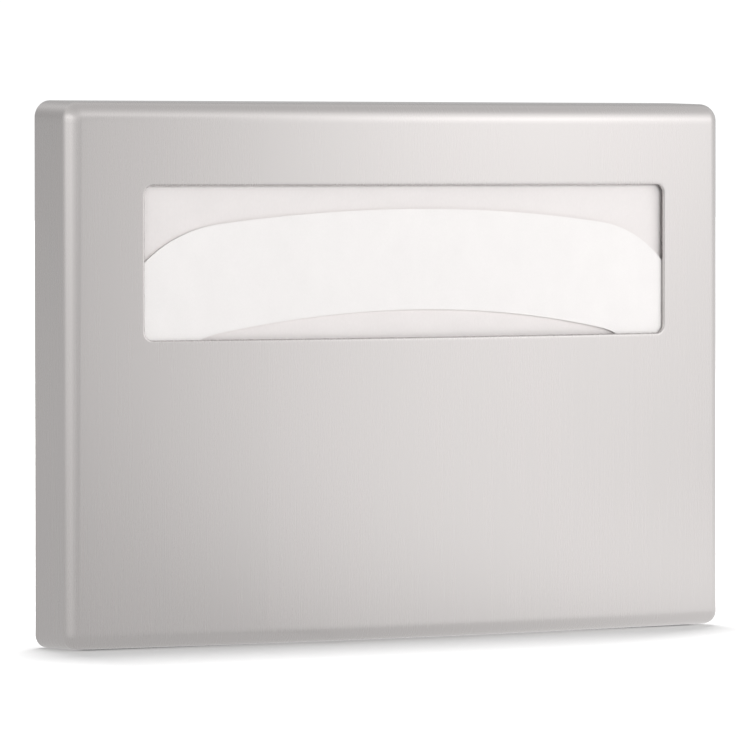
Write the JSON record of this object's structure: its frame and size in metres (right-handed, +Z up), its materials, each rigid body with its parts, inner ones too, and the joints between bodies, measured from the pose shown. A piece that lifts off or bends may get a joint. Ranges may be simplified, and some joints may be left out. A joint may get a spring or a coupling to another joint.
{
  "type": "toilet seat cover dispenser",
  "caption": "Surface-mounted satin steel dispenser with a bowed front and a wide window, holding a pack of folded paper toilet seat covers, filled through a slot in the base.",
  "frame": {"origin": "middle of the four wall screws, on the rear face that lies against the wall", "axes": "+X to the right seen from the front, +Y into the wall, +Z up"},
  "size_m": [0.4, 0.057, 0.285],
  "materials": {
    "case_steel": "satin, fine upright grain",
    "plate_steel": "mill finish",
    "strip_steel": "mill finish",
    "board": "smooth pale board",
    "stack_paper": "soft tissue paper, edges of many sheets",
    "cover_paper": "soft tissue paper"
  },
  "bodies": {
    "root": {"front_shell": "case_steel", "back_plate": "plate_steel", "left_guide": "strip_steel", "right_guide": "strip_steel", "left_rest": "strip_steel", "right_rest": "strip_steel", "carton": "board", "cover_stack": "stack_paper", "front_cover": "cover_paper"}
  },
  "joints": []
}
